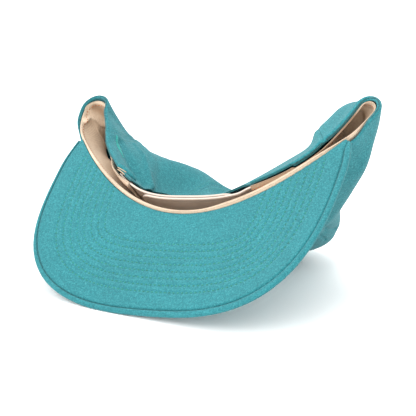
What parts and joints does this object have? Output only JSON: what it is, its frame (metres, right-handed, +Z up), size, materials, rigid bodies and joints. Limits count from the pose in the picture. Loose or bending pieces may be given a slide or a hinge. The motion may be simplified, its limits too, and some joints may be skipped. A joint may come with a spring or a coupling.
{
  "type": "snapback cap",
  "caption": "Flat-brim snapback cap in wool cloth, lying tipped forward on its brim and crown, with its rim squeezed to a crescent.",
  "frame": {"origin": "on the table, under the middle of the lying cap", "axes": "+Z up from the table, -Y the way the brim points and its underside faces, +X to the wearer's right, which is also the cap's longest way"},
  "size_m": [0.2252, 0.1924, 0.1245],
  "materials": {
    "wool_cloth": "matt melton wool, turquoise",
    "sweatband_twill": "matt cotton twill, beige",
    "strap_plastic": "soft satin plastic, taupe"
  },
  "bodies": {
    "root": {"crown_front_left": "wool_cloth", "crown_front_right": "wool_cloth", "crown_side_left": "wool_cloth", "crown_side_right": "wool_cloth", "crown_back_left": "wool_cloth", "crown_back_right": "wool_cloth", "crown_button": "wool_cloth", "brim_upper": "wool_cloth", "brim_underside": "wool_cloth", "sweatband": "sweatband_twill", "strap_left": "strap_plastic", "strap_right": "strap_plastic"}
  },
  "joints": []
}
